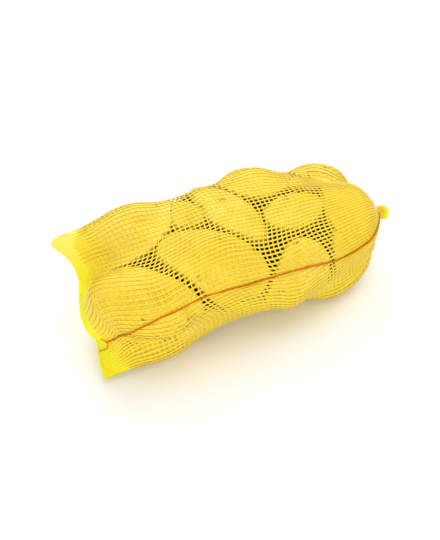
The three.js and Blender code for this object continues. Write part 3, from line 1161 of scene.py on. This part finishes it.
seam = on_course(rough_net)
seam_normals = unit(on_course(rough_normals))
seam_walk = lengths_along(seam)
seam_length = seam_walk[-1]


def along_seam(steps):
    """Evenly spaced points of the seam, with the directions outward and across."""
    shares = np.linspace(0, 1, steps + 1)
    points = smooth_course(seam, shares)
    outward = read_between(shares, seam_walk / seam_length, seam_normals)
    along = unit(np.gradient(points, axis=0))
    outward = unit(outward - along * (outward * along).sum(axis=1, keepdims=True))
    return points, outward, np.cross(along, outward)


print("seam", round(seam_length), "mm long")

# %% Twisted plies
THREAD_HEIGHT = 1.2
THREAD_SIDES = 5
THREAD_ROUGHNESS = 0.75
PLY_RADIUS = 0.58
PLY_OFFSET = 0.5
PLY_PITCH = 4.5
STEPS_PER_PITCH = 9
thread_fibre, thread_tree, thread_shader = new_material("thread_fibre", THREAD_ROUGHNESS)


def thread_tubes(courses, outward, radius, sides):
    """Round tubes of one thickness, drawn to a point at both ends."""
    radii = np.full(courses.shape[:2], radius)
    close_ends(radii)
    return rolled_tubes(courses, outward, radii, radii, sides)


ply_steps = int(seam_length / PLY_PITCH * STEPS_PER_PITCH)
ply_points, ply_out, ply_across = along_seam(ply_steps)
winding = 2 * np.pi * np.arange(ply_steps + 1) / STEPS_PER_PITCH
plies = []
for start in (0, np.pi):
    swing = np.cos(winding + start)[:, None] * ply_across + np.sin(winding + start)[:, None] * ply_out
    plies.append(ply_points + ply_out * THREAD_HEIGHT + swing * PLY_OFFSET)
plies = np.stack(plies)
thread_maker = thread_tubes(plies, np.stack([ply_out, ply_out]), PLY_RADIUS, THREAD_SIDES)
print("each ply winds", round(seam_length / PLY_PITCH), "times")

# %% Zigzag, tie and loose ends
ZIGZAG_HALF_WIDTH = 1.2
ZIGZAG_RADIUS = 0.22
ZIGZAG_PITCH = 2.9
ZIGZAG_SUNK = 0.1
ZIGZAG_SIDES = 4
LOOSE_ENDS = [
    [
        (-159.6, -37.8, 31.2), (-160.4, -40.4, 29.2), (-161.9, -41.0, 26.6), (-166.0, -38.9, 24.0),
        (-169.8, -37.0, 21.7),
    ],
    [(-159.8, -37.4, 31.2), (-162.0, -35.0, 32.6), (-164.8, -31.9, 33.4)],
]
LOOSE_END_POINTS = 28
LOOSE_END_RADIUS = 0.4
TIE_HALF_SIZE = (1.7, 1.4, 0.9)
TIE_DIVISIONS = 3

zigzag_steps = int(seam_length / ZIGZAG_PITCH * 2)
zig_points, zig_out, zig_across = along_seam(zigzag_steps)
swing = np.where(np.arange(zigzag_steps + 1) % 2 == 0, 1, -1)[:, None]
zigzag = zig_points + zig_out * (THREAD_HEIGHT - ZIGZAG_SUNK) + zig_across * swing * ZIGZAG_HALF_WIDTH
zigzag_maker = thread_tubes(zigzag[None], zig_out[None], ZIGZAG_RADIUS, ZIGZAG_SIDES)

end_shares = np.linspace(0, 1, LOOSE_END_POINTS)
loose_ends = np.stack([smooth_course(points, end_shares) for points in LOOSE_ENDS])
end_normals = np.full(loose_ends.shape, seam_normals[0])
end_maker = thread_tubes(loose_ends, end_normals, LOOSE_END_RADIUS, THREAD_SIDES)

tie_maker = bmesh.new()
bmesh.ops.create_icosphere(tie_maker, subdivisions=TIE_DIVISIONS, radius=1)
tie_turn = Vector(seam_normals[0]).to_track_quat("Z", "X").to_matrix().to_4x4()
tie_place = Matrix.Translation(Vector(seam[0] + seam_normals[0] * THREAD_HEIGHT) * MM)
tie_size = Matrix.Diagonal((*(Vector(TIE_HALF_SIZE) * MM), 1))
bmesh.ops.transform(tie_maker, matrix=tie_place @ tie_turn @ tie_size, verts=tie_maker.verts)
add_parts(thread_maker, (zigzag_maker, end_maker, shade_smooth(tie_maker)))
seam_thread = new_piece("sewn_seam_thread", thread_maker, thread_fibre)

# %% [markdown]
# Thread fibre
#
# The thread is spun from matt orange fibre, a little uneven in colour. Single fibres are too thin to model,
# so fine noise stands for them in the colour and in the relief.

# %% Thread fibre
fibres = add_node(thread_tree, "ShaderNodeTexNoise", Scale=700.0, Detail=3.0, Roughness=0.6)
lay_on(thread_tree, fibres)
thread_colour = colour_ramp(thread_tree, fibres.outputs["Fac"], [
    (0.32, (0.52, 0.13, 0.0)),
    (0.66, (0.76, 0.27, 0.0)),
])
thread_tree.links.new(thread_colour, thread_shader.inputs["Base Color"])
thread_shader.inputs["Specular IOR Level"].default_value = 0.1
add_bump(thread_tree, thread_shader, fibres, strength=0.4, distance=0.0002)
print("thread fibre has", len(thread_tree.nodes), "nodes")

# %% [markdown]
# Into the frame
#
# Each piece rides on the one body and stands for the solid that it replaces, which is hidden, and the
# finish that it takes is printed beside it.

# %% Into the frame
for piece, node, finish in (
    (potatoes, "filled_net", "potato_skin"),
    (net_along, "filled_net", "net"),
    (net_round, "filled_net", "net"),
    (net_knot, "filled_net", "net"),
    (seam_thread, "seam_thread", "thread"),
):
    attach(piece, "root")
    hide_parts(node)
    print(piece.name, "stands for", node, "in", finish)

# %% [markdown]
# Bringing the scene up to date
#
# The scene is brought up to date.

# %% Bringing the scene up to date
bpy.context.view_layer.update()
